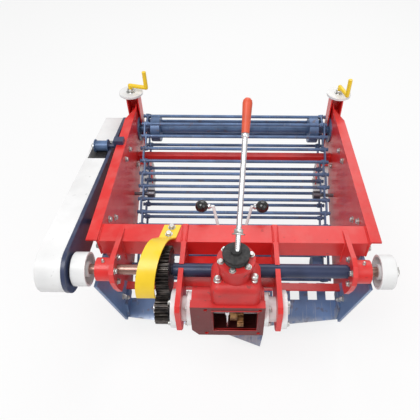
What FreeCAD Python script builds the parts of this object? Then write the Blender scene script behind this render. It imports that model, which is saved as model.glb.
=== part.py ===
import FreeCAD, Part
import math
import os
from FreeCAD import Vector as V

os.makedirs("parts", exist_ok=True)

# A potato harvester that bolts to a walking tractor, seen with its hitch face to the front.
# X is to the right, Y to the rear, Z up. The origin is the middle of the hitch face.

# general clearances
RUN_GAP = 0.3
BORE_GAP = 0.1
SHEET = 5.0

# side plates and the beam between them
INNER_HALF = 346.0
FLANGE_WIDTH = 24.0
PLATE_TOP = 70.0
BEAM_FRONT = 191.0
BEAM_DEPTH = 60.0
BEAM_HEIGHT = 50.0
BEAM_TOP = 63.0
BEAM_WALL = 4.0

# rod conveyor: two hexagon wheels, one rod at each corner, links in two planes a side
SLOPE = 34.1
PITCH = 45.5
STRAIGHT_PITCHES = 11
WHEEL_CORNERS = 6
ROD_RADIUS = 5.5
LINK_HALF = 320.0
LINK_THICK = 5.0
LINK_GAP = 1.0
LINK_HEIGHT = 16.0
ROD_END = 6.0
REAR_AXLE_Y = 801.5
REAR_AXLE_Z = -13.7
AXLE_RADIUS = 12.5
SPROCKET_WIDTH = 32.0
SUPPORT_RADIUS = 14.0

# cross shaft, its gear pair and end drums
SHAFT_Y = 117.0
SHAFT_Z = 43.0
SHAFT_RADIUS = 12.5
SLEEVE_RADIUS = 17.0
MODULE = 3.0
GEAR_TEETH = 38
PINION_TEETH = 23
HITCH_GEAR_TEETH = 26
GEAR_WIDTH = 32.0
HITCH_GEAR_WIDTH = 14.0
MESH_ANGLE = 211.3
BACKLASH = 0.4
DRUM_RADIUS = 42.5
DRUM_WIDTH = 36.0
DRUM_WALL = 5.0
OUTPUT_RADIUS = 12.0

# gearbox
BOX_LEFT = -97.0
BOX_RIGHT = 74.0
BOX_HALF_HEIGHT = 60.0
BOX_DEPTH = 94.0
FACE_THICK = 20.0
TOWER_X = 6.5
TOWER_Y = 56.0
TOWER_RADIUS = 38.0
DOME_TOP = 120.0
DOME_ROUND = 18.0
TOWER_TOP = 157.0
CAP_THICK = 10.0
CAP_RADIUS = 42.0
WINDOW = (-45.0, 57.0, -36.0, 43.0)
GEAR_CLEAR = 5.0
STUD_X = 62.0
STUD_Z = 50.0
STUD_RADIUS = 4.5
LEVER_ANGLE = 40.0
LEVER_LENGTH = 256.0
LEVER_LEAN = 0.061
GRIP_LENGTH = 78.0
KNOB_RADIUS = 17.0
KNOB_FLAT = 70.0
KNOB_ROD_RADIUS = 4.0

# gear guard
GUARD_REAR_X = -158.0
GUARD_SLANT = 0.22
GUARD_WIDTH = 44.0
GUARD_THICK = 3.0

# arms that carry the gearbox
ARM_THICK = 12.0
ARM_LEFT = -132.0
ARM_RIGHT = 102.0

# shaft brackets on the beam
BRACKET_IN = 284.0
BRACKET_THICK = 12.0
HOUSING_WIDTH = 37.0
HOUSING_RADIUS = 29.0

# shovel
SHOVEL_ANGLE = 25.0
SHOVEL_THICK = 8.0
SHOVEL_CORNER_Y = 213.0
SHOVEL_CORNER_Z = -335.0
SHOVEL_POINT_Y = 181.0
SHOVEL_REAR_Y = 268.0
SHOVEL_EAR = 6.0
FINGER_PITCH = 58.0
FINGER_WIDTH = 27.0
FINGER_COUNT = 11
FINGER_END_Y = 318.0
SHOVEL_ARM_THICK = 8.0
SHARE_THICK = 6.0
SHARE_TIP_X = 86.0
SHARE_TIP_Y = 134.0

# posts, legs and rear wheels
POST_IN = 336.0
POST_WIDTH = 42.0
POST_FRONT = 806.0
POST_DEPTH = 46.0
POST_WALL = 4.0
POST_TOP = 112.0
POST_BOTTOM = -90.0
LEG_RADIUS = 10.0
LEG_Y = 832.0
WHEEL_RADIUS = 85.0
WHEEL_WIDTH = 44.0
FORK_THICK = 4.0
DISC_RADIUS = 41.0
DISC_THICK = 7.0
CRANK_RADIUS = 7.0
CRANK_ARM = 60.0
CRANK_HANDLE = 58.0

# belt drive on the left
TRAY_IN = 393.0
TRAY_OUT = 403.0
COVER_OUT = 466.0
COVER_FRONT_R = 56.6
COVER_REAR_R = 38.0
COVER_WALL = 2.0
BELT_FRONT_R = 50.0
BELT_REAR_R = 30.0
BELT_THICK = 6.0
BELT_WIDTH = 32.0
ROLLER_Y = 601.0
ROLLER_RADIUS = 17.0
ROLLER_WIDTH = 43.0
WINDOW_FRONT_Y = 541.0
WINDOW_REAR_Y = 650.0

# values that follow from the sizes above
WHEEL_R = PITCH / (2 * math.sin(math.pi / WHEEL_CORNERS))
OUTER_HALF = INNER_HALF + SHEET
BEAM_REAR = BEAM_FRONT + BEAM_DEPTH
BEAM_BOTTOM = BEAM_TOP - BEAM_HEIGHT
GEAR_DISTANCE = MODULE * (GEAR_TEETH + PINION_TEETH) / 2
OUTPUT_Y = SHAFT_Y + GEAR_DISTANCE * math.cos(math.radians(MESH_ANGLE))
OUTPUT_Z = SHAFT_Z + GEAR_DISTANCE * math.sin(math.radians(MESH_ANGLE))
SLOPE_TAN = math.tan(math.radians(SHOVEL_ANGLE))
GROUND = SHOVEL_CORNER_Z - (SHOVEL_CORNER_Y - SHARE_TIP_Y) * SLOPE_TAN
LEG_X = OUTER_HALF + LEG_RADIUS + 2
WHEEL_Z = GROUND + WHEEL_RADIUS
ARM_IN = INNER_HALF - SHOVEL_ARM_THICK


def box(x0, x1, y0, y1, z0, z1):
    return Part.makeBox(x1 - x0, y1 - y0, z1 - z0, V(x0, y0, z0))


def prism_x(points, x0, x1):
    """A flat outline of (y, z) points, as thick as x0 to x1."""
    wire = Part.makePolygon([V(x0, y, z) for y, z in points + points[:1]])
    return Part.Face(wire).extrude(V(x1 - x0, 0, 0))


def prism_z(points, z0, z1):
    """A flat outline of (x, y) points, as thick as z0 to z1."""
    wire = Part.makePolygon([V(x, y, z0) for x, y in points + points[:1]])
    return Part.Face(wire).extrude(V(0, 0, z1 - z0))


def round_x(y, z, radius, x0, x1):
    return Part.makeCylinder(radius, x1 - x0, V(x0, y, z), V(1, 0, 0))


def round_z(x, y, radius, z0, z1):
    return Part.makeCylinder(radius, z1 - z0, V(x, y, z0), V(0, 0, 1))


def bar(start, end, radius):
    along = end - start
    return Part.makeCylinder(radius, along.Length, start, along)


def bent_bar(points, radius):
    """Round bar along straight runs, with a ball at each bend."""
    pieces = [bar(a, b, radius) for a, b in zip(points, points[1:])]
    pieces += [Part.makeSphere(radius, p) for p in points[1:-1]]
    return join(pieces)


def join(pieces):
    whole = pieces[0].multiFuse(pieces[1:]) if len(pieces) > 1 else pieces[0]
    return whole.removeSplitter()


def mirrored(shape):
    return shape.mirror(V(0, 0, 0), V(1, 0, 0))


def pair(shape):
    return Part.makeCompound([mirrored(shape), shape])


def turned_x(profile, y, z):
    """A ring turned about the X line through (y, z), from (x, radius) points."""
    wire = Part.makePolygon([V(px, y, z + r) for px, r in profile + profile[:1]])
    return Part.Face(wire).revolve(V(0, y, z), V(1, 0, 0), 360)


def belt_outline(front_r, rear_r, x0, x1):
    """Closed run round the shaft in front and the conveyor axle behind."""
    front = V(x0, SHAFT_Y, SHAFT_Z)
    rear = V(x0, REAR_AXLE_Y, REAR_AXLE_Z)
    along = rear - front
    tilt = math.atan2(along.z, along.y)
    spread = math.acos((front_r - rear_r) / along.Length)

    def on(centre, radius, angle):
        return centre + V(0, radius * math.cos(angle), radius * math.sin(angle))

    up, down = tilt + spread, tilt - spread
    edges = [
        Part.Arc(on(front, front_r, up), on(front, front_r, tilt + math.pi), on(front, front_r, down)).toShape(),
        Part.LineSegment(on(front, front_r, down), on(rear, rear_r, down)).toShape(),
        Part.Arc(on(rear, rear_r, down), on(rear, rear_r, tilt), on(rear, rear_r, up)).toShape(),
        Part.LineSegment(on(rear, rear_r, up), on(front, front_r, up)).toShape(),
    ]
    return Part.Face(Part.Wire(edges)).extrude(V(x1 - x0, 0, 0))


def spur_gear(teeth, width, x0, y, z, first_angle, bore):
    """Spur gear with straight-sided teeth that narrow to the tip."""
    pitch_r = MODULE * teeth / 2
    tip_r = pitch_r + MODULE
    root_r = pitch_r - 1.25 * MODULE
    step = 2 * math.pi / teeth
    half = step / 4 - BACKLASH / (2 * pitch_r)
    flank = 0.36 * MODULE
    angles = (
        (-half - 1.25 * flank / pitch_r, root_r),
        (-half + flank / pitch_r, tip_r),
        (half - flank / pitch_r, tip_r),
        (half + 1.25 * flank / pitch_r, root_r),
    )
    points = []
    for i in range(teeth):
        middle = math.radians(first_angle) + i * step
        points += [(y + r * math.cos(middle + a), z + r * math.sin(middle + a)) for a, r in angles]
    disc = prism_x(points, x0, x0 + width)
    return disc.cut(round_x(y, z, bore, x0 - 1, x0 + width + 1))


def conveyor_point(u, n):
    """A place u forward of the rear axle along the slope and n above the middle line."""
    c, s = math.cos(math.radians(SLOPE)), math.sin(math.radians(SLOPE))
    return REAR_AXLE_Y - u * c - n * s, REAR_AXLE_Z - u * s + n * c


def conveyor_stations():
    """Places of the rods in loop order, starting at the top rear."""
    run = STRAIGHT_PITCHES * PITCH
    side = WHEEL_R * math.cos(math.pi / WHEEL_CORNERS)
    turn = [(side, WHEEL_R / 2), (side, -WHEEL_R / 2)]
    top = [(i * PITCH, WHEEL_R) for i in range(STRAIGHT_PITCHES + 1)]
    front = [(run + u, n) for u, n in turn]
    bottom = [(run - i * PITCH, -WHEEL_R) for i in range(STRAIGHT_PITCHES + 1)]
    rear = [(-u, -n) for u, n in turn]
    return [conveyor_point(u, n) for u, n in top + front + bottom + rear]


def make_link(start, end, x0):
    """Flat link bar with cut corners, from one rod to the next."""
    length = math.hypot(end[0] - start[0], end[1] - start[1])
    ty, tz = (end[0] - start[0]) / length, (end[1] - start[1]) / length
    half = LINK_HEIGHT / 2
    cut = half * 0.45
    corners = (
        (-half, -cut), (-cut, -half), (length + cut, -half), (length + half, -cut),
        (length + half, cut), (length + cut, half), (-cut, half), (-half, cut),
    )
    points = [(start[0] + a * ty - b * tz, start[1] + a * tz + b * ty) for a, b in corners]
    return prism_x(points, x0, x0 + LINK_THICK)


def make_conveyor():
    stations = conveyor_stations()
    end = LINK_HALF + ROD_END
    pieces = [round_x(y, z, ROD_RADIUS, -end, end) for y, z in stations]
    for i, start in enumerate(stations):
        stop = stations[(i + 1) % len(stations)]
        inset = (i % 2) * (LINK_THICK + LINK_GAP)
        outer = LINK_HALF - inset
        pieces.append(make_link(start, stop, outer - LINK_THICK))
        pieces.append(make_link(start, stop, -outer))
    return join(pieces)


def sprocket_inner():
    return LINK_HALF - 2 * LINK_THICK - LINK_GAP - 9 - SPROCKET_WIDTH


def make_drive_axle():
    """Rear axle with a toothed wheel near each end of the rods and a bearing disc at each wall."""
    x0 = sprocket_inner()
    x1 = x0 + SPROCKET_WIDTH
    wheel = turned_x([(x0, 0), (x0, WHEEL_R + 0.5), (x1, WHEEL_R + 0.5), (x1, 0)], REAR_AXLE_Y, REAR_AXLE_Z)
    for i in range(WHEEL_CORNERS):
        a = math.radians(90 + SLOPE + i * 360 / WHEEL_CORNERS)
        y = REAR_AXLE_Y + WHEEL_R * math.cos(a)
        z = REAR_AXLE_Z + WHEEL_R * math.sin(a)
        wheel = wheel.cut(round_x(y, z, ROD_RADIUS + 0.5, x0 - 1, x1 + 1))
    disc = round_x(REAR_AXLE_Y, REAR_AXLE_Z, 44, INNER_HALF - 4.5, INNER_HALF)
    shaft = round_x(REAR_AXLE_Y, REAR_AXLE_Z, AXLE_RADIUS, -COVER_OUT + 12, OUTER_HALF)
    return join([shaft, wheel, mirrored(wheel), disc, mirrored(disc)])


def make_front_axle():
    y, z = conveyor_point(STRAIGHT_PITCHES * PITCH, 0)
    x0 = sprocket_inner()
    radius = WHEEL_R - ROD_RADIUS - 0.5
    wheel = round_x(y, z, radius, x0, x0 + SPROCKET_WIDTH)
    shaft = round_x(y, z, AXLE_RADIUS, -INNER_HALF, INNER_HALF)
    return join([shaft, wheel, mirrored(wheel)])


def make_support_rollers():
    """Small rollers under the upper run, each on a pin from the wall."""
    level = WHEEL_R - ROD_RADIUS - RUN_GAP - SUPPORT_RADIUS
    x0 = sprocket_inner() + 8
    pieces = []
    for pitches in (5.5, 8.5):
        y, z = conveyor_point(pitches * PITCH, level)
        roller = round_x(y, z, SUPPORT_RADIUS, x0, x0 + 24)
        pin = round_x(y, z, 6, x0, INNER_HALF)
        one = join([roller, pin])
        pieces += [one, mirrored(one)]
    return Part.makeCompound(pieces)


def make_side_plate():
    """Right side plate with its flange turned outward, from the hitch end to the post."""
    rear = POST_FRONT + POST_DEPTH - POST_WALL
    outline = [
        (BEAM_FRONT - 2, PLATE_TOP), (290, -320), (335, -345), (640, -185), (715, -112),
        (rear, -112), (rear, PLATE_TOP - 10), (rear - 12, PLATE_TOP + 8), (rear - 28, PLATE_TOP + 8),
        (rear - 60, PLATE_TOP),
    ]
    web = prism_x(outline, INNER_HALF, OUTER_HALF)
    edge = OUTER_HALF + FLANGE_WIDTH
    flange = prism_z([
        (INNER_HALF, BEAM_FRONT - 2), (edge, BEAM_FRONT - 2), (edge, POST_FRONT - 70),
        (OUTER_HALF + 2, POST_FRONT - 2), (INNER_HALF, POST_FRONT - 2),
    ], PLATE_TOP - SHEET, PLATE_TOP)
    plate = join([web, flange])
    return plate.cut(round_x(REAR_AXLE_Y, REAR_AXLE_Z, AXLE_RADIUS + BORE_GAP, INNER_HALF - 1, OUTER_HALF + 1))


def make_beam():
    outer = box(-INNER_HALF, INNER_HALF, BEAM_FRONT, BEAM_REAR, BEAM_BOTTOM, BEAM_TOP)
    wall = BEAM_WALL
    inner = box(-INNER_HALF, INNER_HALF, BEAM_FRONT + wall, BEAM_REAR - wall, BEAM_BOTTOM + wall, BEAM_TOP - wall)
    return outer.cut(inner)


def make_rear_tube():
    y, z = conveyor_point(106, 0)
    tube = box(-INNER_HALF, INNER_HALF, y - 12, y + 12, z - 12, z + 12)
    return tube.cut(box(-INNER_HALF, INNER_HALF, y - 9, y + 9, z - 9, z + 9))


def make_lower_bar():
    return box(-ARM_IN, ARM_IN, 262, 288, -252, -246)


def make_arm(x0):
    """Arm plate from the beam to the gearbox, with holes for both shafts."""
    lip = BEAM_TOP + 3
    outline = [
        (BEAM_REAR, lip), (4, lip - 10), (-6, lip - 20), (-6, OUTPUT_Z - 25), (10, OUTPUT_Z - 45),
        (60, OUTPUT_Z - 47), (BEAM_FRONT, BEAM_BOTTOM - 20), (BEAM_FRONT, BEAM_TOP), (BEAM_REAR, BEAM_TOP),
    ]
    arm = prism_x(outline, x0, x0 + ARM_THICK)
    arm = arm.cut(round_x(SHAFT_Y, SHAFT_Z, SLEEVE_RADIUS + 1.5, x0 - 1, x0 + ARM_THICK + 1))
    return arm.cut(round_x(OUTPUT_Y, OUTPUT_Z, 22 + BORE_GAP, x0 - 1, x0 + ARM_THICK + 1))


def make_cradle():
    return box(ARM_LEFT + ARM_THICK, ARM_RIGHT, BOX_DEPTH + 2, BEAM_FRONT, 0, 6)


def make_bracket():
    """Right shaft bracket: a plate over the beam's front edge with a bearing housing outside it."""
    x0, x1 = BRACKET_IN, BRACKET_IN + BRACKET_THICK
    lip = BEAM_TOP + 3
    outline = [
        (BEAM_REAR - 18, lip), (SHAFT_Y + 34, SHAFT_Z + 36), (SHAFT_Y + 10, SHAFT_Z + 41),
        (SHAFT_Y - 14, SHAFT_Z + 38), (SHAFT_Y - 34, SHAFT_Z + 22), (SHAFT_Y - 39, SHAFT_Z - 4),
        (SHAFT_Y - 30, SHAFT_Z - 40), (SHAFT_Y - 12, SHAFT_Z - 78), (SHAFT_Y + 12, SHAFT_Z - 80),
        (BEAM_FRONT, BEAM_BOTTOM - 24), (BEAM_FRONT, BEAM_TOP), (BEAM_REAR - 18, BEAM_TOP),
    ]
    plate = prism_x(outline, x0, x1)
    housing = round_x(SHAFT_Y, SHAFT_Z, HOUSING_RADIUS, x1, x1 + HOUSING_WIDTH)
    whole = join([plate, housing])
    return whole.cut(round_x(SHAFT_Y, SHAFT_Z, SHAFT_RADIUS + RUN_GAP, x0 - 1, x1 + HOUSING_WIDTH + 1))


def make_cross_shaft():
    sleeve_start = GEAR_LEFT + GEAR_WIDTH + 5
    shaft = round_x(SHAFT_Y, SHAFT_Z, SHAFT_RADIUS, -COVER_OUT + 12, DRUM_IN + DRUM_WIDTH)
    sleeve = round_x(SHAFT_Y, SHAFT_Z, SLEEVE_RADIUS, sleeve_start, BRACKET_IN - 5)
    return join([shaft, sleeve])


def make_drum():
    """Right end drum: a cup open towards the middle, on a hub."""
    x0, x1 = DRUM_IN, DRUM_IN + DRUM_WIDTH
    bore = SHAFT_RADIUS + BORE_GAP
    profile = [
        (x0, bore), (x0, 19), (x1 - DRUM_WALL, 19), (x1 - DRUM_WALL, DRUM_RADIUS - DRUM_WALL),
        (x0, DRUM_RADIUS - DRUM_WALL), (x0, DRUM_RADIUS), (x1 - 2, DRUM_RADIUS), (x1, DRUM_RADIUS - 2),
        (x1, bore),
    ]
    return turned_x(profile, SHAFT_Y, SHAFT_Z)


def make_gear():
    gear = spur_gear(GEAR_TEETH, GEAR_WIDTH, GEAR_LEFT, SHAFT_Y, SHAFT_Z, MESH_ANGLE, SHAFT_RADIUS + BORE_GAP)
    hub = turned_x([
        (GEAR_LEFT - 8, SHAFT_RADIUS + BORE_GAP), (GEAR_LEFT - 8, 24),
        (GEAR_LEFT, 24), (GEAR_LEFT, SHAFT_RADIUS + BORE_GAP),
    ], SHAFT_Y, SHAFT_Z)
    return join([gear, hub])


def make_pinion():
    first = MESH_ANGLE - 180 + 180 / PINION_TEETH
    return spur_gear(PINION_TEETH, GEAR_WIDTH, GEAR_LEFT, OUTPUT_Y, OUTPUT_Z, first, OUTPUT_RADIUS + BORE_GAP)


def make_hitch_gear():
    gear = spur_gear(HITCH_GEAR_TEETH, HITCH_GEAR_WIDTH, 11, OUTPUT_Y, OUTPUT_Z, 0, OUTPUT_RADIUS + BORE_GAP)
    hub = turned_x([
        (-6, OUTPUT_RADIUS + BORE_GAP), (-6, 28), (11, 28), (11, OUTPUT_RADIUS + BORE_GAP),
    ], OUTPUT_Y, OUTPUT_Z)
    return join([gear, hub])


def make_output_shaft():
    return round_x(OUTPUT_Y, OUTPUT_Z, OUTPUT_RADIUS, GEAR_LEFT - 6, ARM_RIGHT + ARM_THICK + 22)


def make_output_flange(side_x, arm_in, arm_out):
    """Bearing carrier through one arm: disc on the gearbox, ring at the arm, disc outside it."""
    way = 1 if arm_out > side_x else -1
    bore = OUTPUT_RADIUS + RUN_GAP
    profile = [
        (side_x, bore), (side_x, 40), (side_x + way * 10, 40), (side_x + way * 10, 30),
        (arm_in, 30), (arm_in, 22), (arm_out, 22), (arm_out, 46), (arm_out + way * 13, 46),
        (arm_out + way * 13, bore),
    ]
    return turned_x(profile, OUTPUT_Y, OUTPUT_Z)


def make_gearbox():
    """Cast box with its open hitch face, a round bearing side, a domed middle and a tower."""
    low, high = -BOX_HALF_HEIGHT, BOX_HALF_HEIGHT
    face = Part.makePolygon([V(x, 0, z) for x, z in (
        (BOX_LEFT, high), (BOX_RIGHT, high), (BOX_RIGHT, low), (BOX_LEFT + 16, low), (BOX_LEFT, low + 22),
        (BOX_LEFT, high),
    )])
    flange = Part.Face(face).extrude(V(0, FACE_THICK, 0))
    barrel = round_x(SHAFT_Y - 69, OUTPUT_Z, 46, BOX_LEFT, BOX_RIGHT)
    barrel = barrel.common(box(BOX_LEFT, BOX_RIGHT, 0, BOX_DEPTH, low, high))
    dome = box(-50, 63, 6, BOX_DEPTH, low, DOME_TOP)
    round_edges = [e for e in dome.Edges if e.BoundBox.ZMax > DOME_TOP - 1]
    dome = dome.makeFillet(DOME_ROUND, round_edges)
    tower = round_z(TOWER_X, TOWER_Y, TOWER_RADIUS, DOME_TOP - 4, TOWER_TOP)
    body = join([flange, barrel, dome, tower])
    x0, x1, z0, z1 = WINDOW
    room = OUTPUT_Y + MODULE * (HITCH_GEAR_TEETH / 2 + 1) + 3
    body = body.cut(box(x0, x1, -1, room, z0, z1))
    pocket = round_x(OUTPUT_Y, OUTPUT_Z, MODULE * (HITCH_GEAR_TEETH / 2 + 1) + GEAR_CLEAR, x0, x1)
    body = body.cut(pocket.common(box(x0, x1, 0, room + 9, -BOX_HALF_HEIGHT + 7, z1)))
    body = body.cut(round_x(OUTPUT_Y, OUTPUT_Z, OUTPUT_RADIUS + RUN_GAP, BOX_LEFT - 1, BOX_RIGHT + 1))
    for x in (-STUD_X, STUD_X):
        for z in (-STUD_Z, STUD_Z):
            body = body.cut(Part.makeCylinder(STUD_RADIUS, FACE_THICK + 2, V(x, -1, z), V(0, 1, 0)))
    return body


def make_cap():
    return round_z(TOWER_X, TOWER_Y, CAP_RADIUS, TOWER_TOP, TOWER_TOP + CAP_THICK)


def lever_point(distance):
    a = math.radians(LEVER_ANGLE)
    start = V(TOWER_X + 2, TOWER_Y, TOWER_TOP + CAP_THICK + 22)
    return start + V(LEVER_LEAN, math.cos(a), math.sin(a)) * distance


def make_boot():
    base = TOWER_TOP + CAP_THICK
    wire = Part.makePolygon([V(TOWER_X + r, TOWER_Y, base + h) for r, h in (
        (0, 0), (27, 0), (22, 7), (22, 12), (30, 15), (30, 19), (12, 21), (11, 27), (0, 27), (0, 0),
    )])
    boot = Part.Face(wire).revolve(V(TOWER_X, TOWER_Y, 0), V(0, 0, 1), 360)
    return boot.cut(bar(lever_point(0), lever_point(60), 6 + BORE_GAP))


def make_lever():
    return bar(lever_point(0), lever_point(LEVER_LENGTH), 6)


def make_grip():
    """Grip that swells towards its round end."""
    start = lever_point(LEVER_LENGTH)
    along = lever_point(LEVER_LENGTH + 1) - start
    wire = Part.makePolygon([V(r, 0, h) for r, h in (
        (0, 0), (8.5, 0), (11, GRIP_LENGTH - 11), (10, GRIP_LENGTH - 5), (6, GRIP_LENGTH), (0, GRIP_LENGTH), (0, 0),
    )])
    grip = Part.Face(wire).revolve(V(0, 0, 0), V(0, 0, 1), 360)
    grip.Placement = FreeCAD.Placement(start, FreeCAD.Rotation(V(0, 0, 1), along))
    return grip


def knob_rod_points():
    """Run of each rod from the bracket to its level end, which lies along X."""
    y = BEAM_REAR + 18
    left = [V(-38, BEAM_REAR + 4, 20), V(-40, y, 30), V(-54, y + 22, 92), V(-69, y + 22, 92)]
    right = [V(30, BEAM_REAR + 4, 20), V(32, y, 30), V(48, y + 22, 92), V(60, y + 22, 92)]
    return left, right


def make_knob_levers():
    """Bracket behind the beam with two bent rods."""
    bracket = box(-48, 42, BEAM_REAR, BEAM_REAR + 8, BEAM_BOTTOM + 2, BEAM_TOP - 12)
    return join([bracket] + [bent_bar(points, KNOB_ROD_RADIUS) for points in knob_rod_points()])


def make_knobs():
    """A ball against the end of each rod, flat where they meet."""
    balls = []
    for points, way in zip(knob_rod_points(), (1, -1)):
        towards_rod = V(way, 0, 0)
        centre = points[-1] - towards_rod * (KNOB_RADIUS * math.sin(math.radians(KNOB_FLAT)))
        balls.append(Part.makeSphere(KNOB_RADIUS, centre, towards_rod, -90, KNOB_FLAT, 360))
    return Part.makeCompound(balls)


def make_gear_guard():
    """Bent strip over the gear pair, bolted to the beam's top and slanting away to the left."""
    x0, x1 = GUARD_REAR_X - 90, GUARD_REAR_X + 40
    radius = MODULE * (GEAR_TEETH / 2 + 1) + 14
    outer_r = radius + GUARD_THICK
    ring = round_x(SHAFT_Y, SHAFT_Z, outer_r, x0, x1).cut(round_x(SHAFT_Y, SHAFT_Z, radius, x0 - 1, x1 + 1))
    sweep = prism_x([
        (SHAFT_Y, SHAFT_Z), (SHAFT_Y + 100, SHAFT_Z + 100), (SHAFT_Y, SHAFT_Z + 160),
        (SHAFT_Y - 140, SHAFT_Z + 100), (SHAFT_Y - 140, SHAFT_Z - 18),
    ], x0, x1)
    q = math.sqrt(0.5)
    inner = (SHAFT_Y + radius * q, SHAFT_Z + radius * q)
    outer = (SHAFT_Y + outer_r * q, SHAFT_Z + outer_r * q)
    foot = inner[0] + inner[1] - BEAM_TOP
    heel = outer[0] + outer[1] - BEAM_TOP - GUARD_THICK
    ramp = prism_x([inner, (foot, BEAM_TOP), (heel, BEAM_TOP + GUARD_THICK), outer], x0, x1)
    tab = box(x0, x1, foot - 2, BEAM_REAR - 4, BEAM_TOP, BEAM_TOP + GUARD_THICK)
    strip = join([ring.common(sweep), ramp, tab])
    half = GUARD_WIDTH / 2
    rear_x, front_x = GUARD_REAR_X, GUARD_REAR_X - GUARD_SLANT * BEAM_REAR
    plan = [(rear_x - half, BEAM_REAR), (rear_x + half, BEAM_REAR), (front_x + half, 0), (front_x - half, 0)]
    return strip.common(prism_z(plan, SHAFT_Z - 40, SHAFT_Z + 160))


def shovel_z(y):
    return SHOVEL_CORNER_Z + (y - SHOVEL_CORNER_Y) * SLOPE_TAN


def sloped_plate(points, thick, level=0.0):
    """Flat outline of (x, y) points laid on the shovel's slope, thick below its upper face."""
    top = [V(x, y, shovel_z(y) + level) for x, y in points]
    face = Part.Face(Part.makePolygon(top + top[:1]))
    a = math.radians(SHOVEL_ANGLE)
    return face.extrude(V(0, math.sin(a), -math.cos(a)) * thick)


def make_shovel():
    """Blade with a shallow point, finger bars behind it and an upturned ear at each end."""
    half = ARM_IN
    blade = sloped_plate([
        (-half, SHOVEL_CORNER_Y), (0, SHOVEL_POINT_Y), (half, SHOVEL_CORNER_Y), (half, SHOVEL_REAR_Y),
        (-half, SHOVEL_REAR_Y),
    ], SHOVEL_THICK)
    pieces = [blade]
    for i in range(FINGER_COUNT):
        x = (i - (FINGER_COUNT - 1) / 2) * FINGER_PITCH
        w = FINGER_WIDTH / 2
        pieces.append(sloped_plate([
            (x - w, SHOVEL_REAR_Y - 6), (x + w, SHOVEL_REAR_Y - 6), (x + w, FINGER_END_Y), (x - w, FINGER_END_Y),
        ], SHOVEL_THICK))
    ear = prism_x([
        (SHOVEL_CORNER_Y + 2, SHOVEL_CORNER_Z - 4), (SHOVEL_REAR_Y, shovel_z(SHOVEL_REAR_Y) - 4),
        (SHOVEL_REAR_Y + 4, shovel_z(SHOVEL_REAR_Y) + 52), (SHOVEL_CORNER_Y + 8, SHOVEL_CORNER_Z + 60),
    ], half - SHOVEL_EAR, half)
    return join(pieces + [ear, mirrored(ear)])


def make_share_point():
    """Pointed wear plate on the blade; its tip is the front foot when parked."""
    return sloped_plate([
        (-18, 167), (SHARE_TIP_X, SHARE_TIP_Y), (SHARE_TIP_X + 10, 165), (SHARE_TIP_X + 10, 222), (-18, 222),
    ], -SHARE_THICK)


def make_shovel_arm():
    outline = [
        (92, SHAFT_Z - 39), (200, SHAFT_Z - 39), (262, -200), (308, -285), (300, -322), (207, -342),
    ]
    return prism_x(outline, ARM_IN, INNER_HALF)


def make_post():
    """Right post: a channel open to the front round the plate's end, with a guide for the leg."""
    x0, x1 = POST_IN, POST_IN + POST_WIDTH
    y0, y1 = POST_FRONT, POST_FRONT + POST_DEPTH
    w = POST_WALL
    pieces = [
        box(x0, x1, y1 - w, y1, POST_BOTTOM, POST_TOP),
        box(x0, x0 + w, y0, y1, POST_BOTTOM, POST_TOP),
        box(x1 - w, x1, y0, y1, POST_BOTTOM, POST_TOP),
        box(OUTER_HALF, x1 - w, y0 + 4, y1 - w, POST_BOTTOM, POST_BOTTOM + 24),
    ]
    post = join(pieces)
    post = post.cut(round_z(LEG_X, LEG_Y, LEG_RADIUS + RUN_GAP, POST_BOTTOM - 1, POST_BOTTOM + 25))
    return post.cut(round_x(REAR_AXLE_Y, REAR_AXLE_Z, AXLE_RADIUS + 2, x0 - 1, x1 + 1))


def make_screw_disc():
    disc = round_z(LEG_X, LEG_Y, DISC_RADIUS, POST_TOP, POST_TOP + DISC_THICK)
    return disc.cut(round_z(LEG_X, LEG_Y, CRANK_RADIUS + BORE_GAP, POST_TOP - 1, POST_TOP + DISC_THICK + 1))


def make_crank(x, direction):
    """Crank of bent round bar: stub in the disc, level arm and upright handle."""
    base = V(x, LEG_Y, POST_TOP)
    knee = V(x, LEG_Y, POST_TOP + DISC_THICK + 24)
    elbow = knee + direction * CRANK_ARM
    top = elbow + V(0, 0, CRANK_HANDLE)
    return bent_bar([base, knee, elbow, top], CRANK_RADIUS)


def make_leg():
    """Right leg: round tube, crown and a two-sided fork down to the axle."""
    crown = GROUND + 2 * WHEEL_RADIUS + 8
    half = WHEEL_WIDTH / 2 + 2
    tube = round_z(LEG_X, LEG_Y, LEG_RADIUS, crown, POST_TOP - 62)
    top = box(LEG_X - half - FORK_THICK, LEG_X + half + FORK_THICK, LEG_Y - 16, LEG_Y + 16, crown, crown + 8)
    pieces = [tube, top]
    for x0 in (LEG_X - half - FORK_THICK, LEG_X + half):
        side = box(x0, x0 + FORK_THICK, LEG_Y - 16, LEG_Y + 16, WHEEL_Z, crown)
        foot = round_x(LEG_Y, WHEEL_Z, 16, x0, x0 + FORK_THICK)
        pieces += [side, foot]
    reach = half + FORK_THICK + 5
    pieces.append(round_x(LEG_Y, WHEEL_Z, 8, LEG_X - reach + 4, LEG_X + reach))
    return join(pieces)


def make_wheel():
    """Right wheel: rim band with turned-in edges, a disc and a hub."""
    half = WHEEL_WIDTH / 2
    bore = 8 + RUN_GAP
    profile = [
        (-half, bore), (-half, 18), (-4, 22), (-4, 72), (-half, 76), (-half, WHEEL_RADIUS - 3),
        (-half + 3, WHEEL_RADIUS), (half - 3, WHEEL_RADIUS), (half, WHEEL_RADIUS - 3), (half, 76),
        (4, 72), (4, 22), (half, 18), (half, bore),
    ]
    return turned_x([(LEG_X + x, r) for x, r in profile], LEG_Y, WHEEL_Z)


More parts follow.
